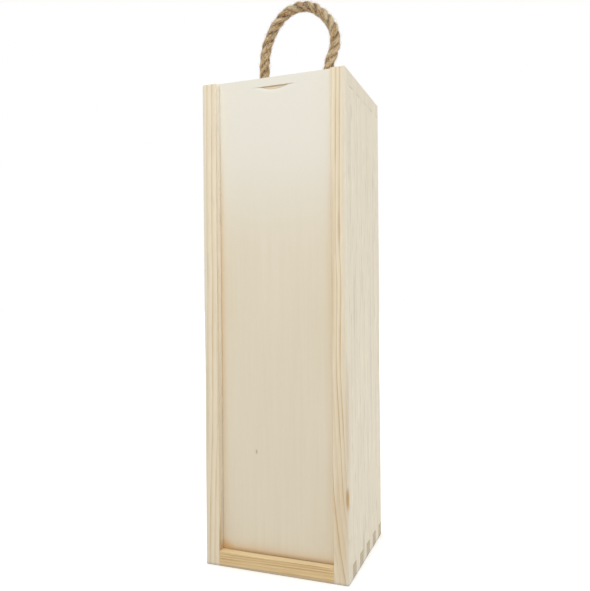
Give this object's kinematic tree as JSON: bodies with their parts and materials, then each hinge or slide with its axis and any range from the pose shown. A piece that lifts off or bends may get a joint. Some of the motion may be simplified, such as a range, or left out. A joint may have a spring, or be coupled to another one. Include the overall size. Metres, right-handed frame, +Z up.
{
  "type": "wooden wine box",
  "caption": "Tall finger-jointed wooden box for a wine bottle, with a plywood lid that slides up in grooves and a knotted rope handle.",
  "frame": {"origin": "middle of the base, on the surface that the box stands on, with the rope handle left out", "axes": "+Z up along the box's height, -Y out of the front that the lid closes, +X to the right seen from the front"},
  "size_m": [0.111, 0.1, 0.4355],
  "materials": {
    "side_boards": "sanded bare softwood with fine straight growth lines",
    "end_boards": "sanded bare softwood, warmer in tone, end grain at the finger joints",
    "lid_plywood": "sanded pale plywood, very even",
    "back_plywood": "sanded pale plywood",
    "rope": "three-strand natural fibre rope, matt and hairy"
  },
  "bodies": {
    "box": {"left_side_board": "side_boards", "right_side_board": "side_boards", "bottom_board": "end_boards", "top_board": "end_boards", "back_panel": "back_plywood", "left_knot": "rope", "right_knot": "rope"},
    "lid": {"sliding_lid": "lid_plywood"},
    "handle": {"rope_handle": "rope"}
  },
  "joints": [
    {"name": "lid_slide", "type": "slide", "parent": "box", "child": "lid", "axis": [0, 0, 1], "range_m": [0, 0.36]},
    {"name": "handle_fold", "type": "hinge", "parent": "box", "child": "handle", "pos_m": [0, 0.003, 0.3643], "axis": [1, 0, 0], "range_deg": [-90, 30]}
  ]
}
